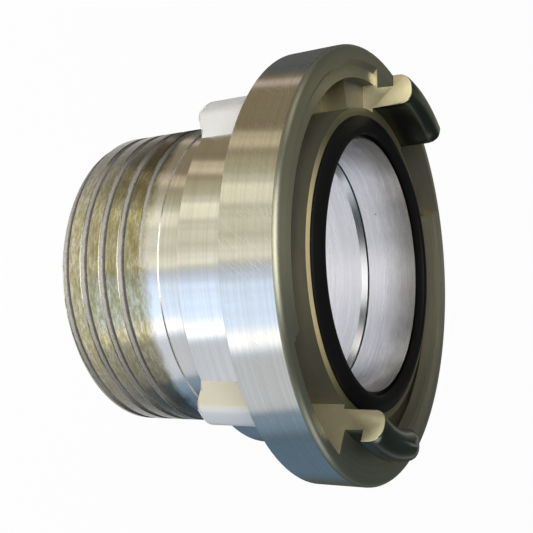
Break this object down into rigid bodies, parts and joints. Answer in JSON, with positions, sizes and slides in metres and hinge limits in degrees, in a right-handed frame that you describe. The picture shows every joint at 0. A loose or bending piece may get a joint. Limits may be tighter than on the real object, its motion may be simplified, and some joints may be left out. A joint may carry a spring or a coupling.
{
  "type": "claw coupling hose adapter",
  "caption": "Hose adapter with a claw coupling head, a spanner-lug collar and a coarse male thread, in bare aluminium with a black rubber face seal",
  "frame": {"origin": "Centre of the threaded end face, which is the foot of the part and the bottom centre of its box", "axes": "+Z runs along the waterway from the threaded end to the coupling face; +X is the direction that points up in the picture"},
  "size_m": [0.12, 0.12, 0.0867],
  "materials": {
    "head_aluminium": "turned faces with fine circular tool marks, a yellowish passivated face and claws, and satin cast lugs",
    "nipple_aluminium": "turned thread and shank, broad olive-gold crests with small casting pores, bright groove edges, bright bore",
    "seal_rubber": "smooth black rubber"
  },
  "bodies": {
    "root": {"coupling_head": "head_aluminium", "threaded_nipple": "nipple_aluminium", "face_seal": "seal_rubber"}
  },
  "joints": []
}
